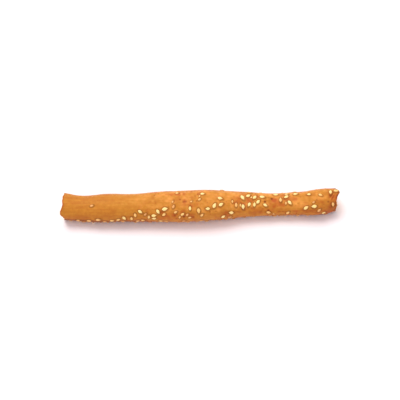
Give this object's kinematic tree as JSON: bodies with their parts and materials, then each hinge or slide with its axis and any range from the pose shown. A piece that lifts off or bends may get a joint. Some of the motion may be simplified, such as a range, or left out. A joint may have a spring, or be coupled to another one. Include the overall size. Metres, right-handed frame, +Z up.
{
  "type": "sesame breadstick",
  "caption": "Dry hand-rolled breadstick with rough broken ends, a flat underside and sesame seeds baked into its crust in a winding band.",
  "frame": {"origin": "middle of the bounding box in X and Y, on the flat underside, where the stick rests", "axes": "+X along the stick from its thick end to its thin end, -Y the front that carries most of the seeds, +Z up from the surface it lies on"},
  "size_m": [0.1612, 0.0199, 0.0166],
  "materials": {
    "baked_crust": "matte",
    "toasted_sesame": "satin"
  },
  "bodies": {
    "root": {"breadstick": "baked_crust", "sesame_seed_01": "toasted_sesame", "sesame_seed_02": "toasted_sesame", "sesame_seed_03": "toasted_sesame", "sesame_seed_04": "toasted_sesame", "sesame_seed_05": "toasted_sesame", "sesame_seed_06": "toasted_sesame", "sesame_seed_07": "toasted_sesame", "sesame_seed_08": "toasted_sesame", "sesame_seed_09": "toasted_sesame", "sesame_seed_10": "toasted_sesame", "sesame_seed_11": "toasted_sesame", "sesame_seed_12": "toasted_sesame", "sesame_seed_13": "toasted_sesame", "sesame_seed_14": "toasted_sesame", "sesame_seed_15": "toasted_sesame", "sesame_seed_16": "toasted_sesame", "sesame_seed_17": "toasted_sesame", "sesame_seed_18": "toasted_sesame", "sesame_seed_19": "toasted_sesame", "sesame_seed_20": "toasted_sesame", "sesame_seed_21": "toasted_sesame", "sesame_seed_22": "toasted_sesame", "sesame_seed_23": "toasted_sesame", "sesame_seed_24": "toasted_sesame", "sesame_seed_25": "toasted_sesame", "sesame_seed_26": "toasted_sesame", "sesame_seed_27": "toasted_sesame", "sesame_seed_28": "toasted_sesame", "sesame_seed_29": "toasted_sesame", "sesame_seed_30": "toasted_sesame", "sesame_seed_31": "toasted_sesame", "sesame_seed_32": "toasted_sesame", "sesame_seed_33": "toasted_sesame", "sesame_seed_34": "toasted_sesame", "sesame_seed_35": "toasted_sesame", "sesame_seed_36": "toasted_sesame", "sesame_seed_37": "toasted_sesame", "sesame_seed_38": "toasted_sesame", "sesame_seed_39": "toasted_sesame", "sesame_seed_40": "toasted_sesame", "sesame_seed_41": "toasted_sesame", "sesame_seed_42": "toasted_sesame", "sesame_seed_43": "toasted_sesame", "sesame_seed_44": "toasted_sesame", "sesame_seed_45": "toasted_sesame", "sesame_seed_46": "toasted_sesame", "sesame_seed_47": "toasted_sesame", "sesame_seed_48": "toasted_sesame", "sesame_seed_49": "toasted_sesame", "sesame_seed_50": "toasted_sesame", "sesame_seed_51": "toasted_sesame", "sesame_seed_52": "toasted_sesame", "sesame_seed_53": "toasted_sesame", "sesame_seed_54": "toasted_sesame", "sesame_seed_55": "toasted_sesame", "sesame_seed_56": "toasted_sesame", "sesame_seed_57": "toasted_sesame", "sesame_seed_58": "toasted_sesame", "sesame_seed_59": "toasted_sesame"}
  },
  "joints": []
}
